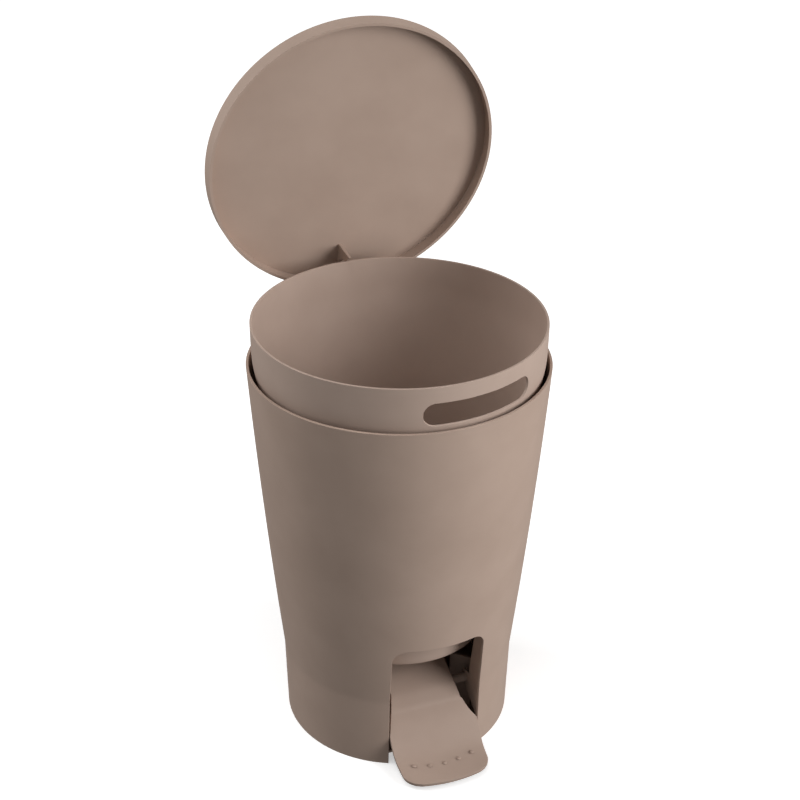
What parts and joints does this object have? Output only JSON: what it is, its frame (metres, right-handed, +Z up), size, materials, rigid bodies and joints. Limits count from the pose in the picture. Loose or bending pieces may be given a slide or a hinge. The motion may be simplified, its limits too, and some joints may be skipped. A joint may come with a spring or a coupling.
{
  "type": "pedal trash can",
  "caption": "Round tapered plastic pedal bin with a lift-up inner bucket, flat hinged lid, cam fin and front foot pedal.",
  "frame": {"origin": "centre of the shell's foot ring, on the plane it stands on", "axes": "+Z up, -Y to the front where the pedal is, +Y to the lid hinge at the back"},
  "size_m": [0.1932, 0.2176, 0.463],
  "materials": {
    "body_plastic": "satin moulded taupe",
    "bucket_plastic": "satin moulded taupe",
    "lid_plastic": "satin moulded taupe",
    "pin_steel": "plain steel",
    "pedal_plastic": "satin moulded taupe",
    "axle_plastic": "satin moulded taupe"
  },
  "bodies": {
    "shell": {"outer_shell": "body_plastic", "lid_hinge_pin_left": "pin_steel", "lid_hinge_pin_right": "pin_steel", "pedal_axle": "axle_plastic"},
    "bucket": {"inner_bucket": "bucket_plastic"},
    "lid": {"lid": "lid_plastic"},
    "pedal": {"pedal": "pedal_plastic"}
  },
  "joints": [
    {"name": "pedal_hinge", "type": "hinge", "parent": "shell", "child": "pedal", "pos_m": [0, -0.0465, 0.0388], "axis": [-1, 0, 0], "range_deg": [0, 17.7]},
    {"name": "bucket_drop", "type": "slide", "parent": "shell", "child": "bucket", "axis": [0, 0, -1], "range_m": [0, 0.0209]},
    {"name": "lid_hinge", "type": "hinge", "parent": "shell", "child": "lid", "pos_m": [0, 0.1026, 0.2654], "axis": [1, 0, 0], "range_deg": [0, 80]}
  ],
  "couplings": [
    {"joint": "bucket_drop", "follows": "pedal_hinge", "m_per_rad": 0.06765},
    {"joint": "lid_hinge", "follows": "pedal_hinge", "ratio": 4.519}
  ]
}
